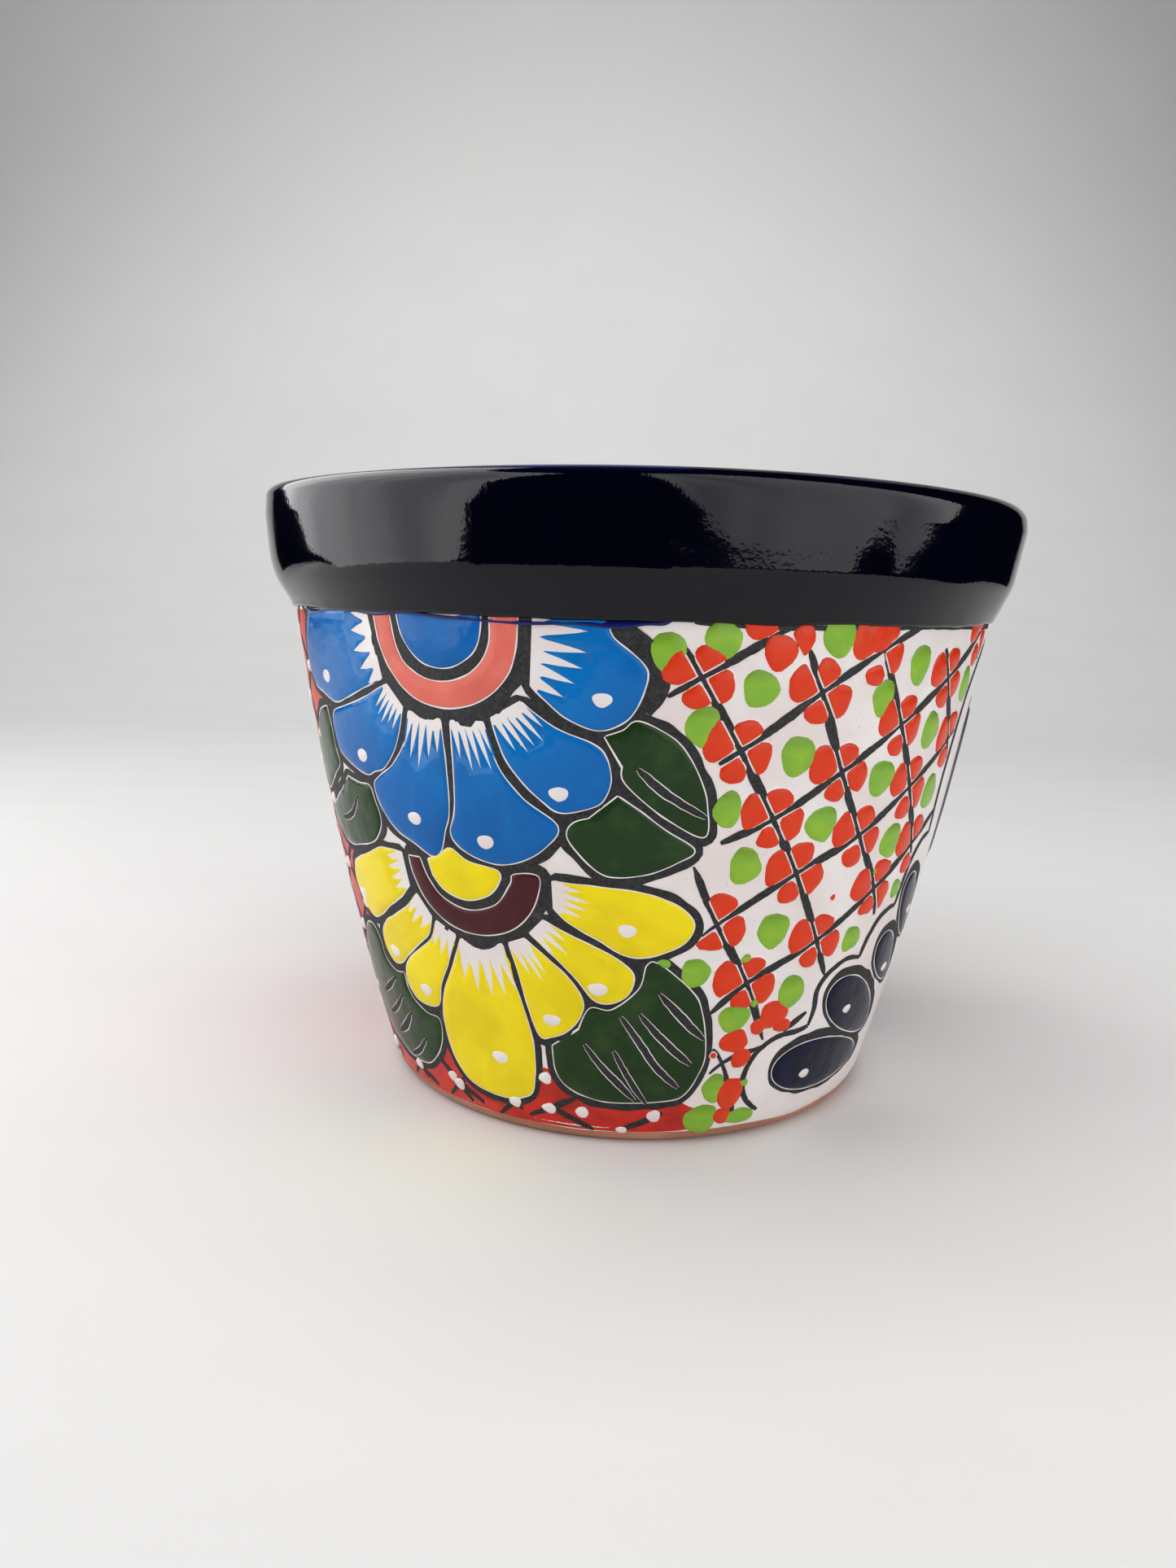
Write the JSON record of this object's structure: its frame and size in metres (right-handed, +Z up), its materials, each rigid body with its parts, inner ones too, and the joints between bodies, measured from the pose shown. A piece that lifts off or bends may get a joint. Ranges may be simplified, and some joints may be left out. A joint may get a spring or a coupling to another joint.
{
  "type": "glazed earthenware flower pot",
  "caption": "Round tapered earthenware flower pot with a thick collar rim, a drain hole in its floor, cobalt and white glaze coats and painted floral enamel on the wall.",
  "frame": {"origin": "on the table, under the pot's axis", "axes": "+Z up along the pot's axis of revolution; -Y is the side with the two stacked flowers, which faces the viewer"},
  "size_m": [0.2, 0.2, 0.155],
  "materials": {
    "clay": "matte",
    "white_glaze": "gloss",
    "cobalt_glaze": "gloss",
    "blue_enamel": "gloss",
    "yellow_enamel": "gloss",
    "leaf_enamel": "gloss",
    "coral_enamel": "gloss",
    "maroon_enamel": "gloss",
    "navy_enamel": "gloss"
  },
  "bodies": {
    "root": {"clay_floor": "clay", "clay_wall": "clay", "clay_collar": "clay", "wall_glaze": "white_glaze", "collar_glaze": "cobalt_glaze", "blue_enamel": "blue_enamel", "yellow_enamel": "yellow_enamel", "leaf_enamel": "leaf_enamel", "coral_enamel": "coral_enamel", "maroon_enamel": "maroon_enamel", "navy_enamel": "navy_enamel"}
  },
  "joints": []
}
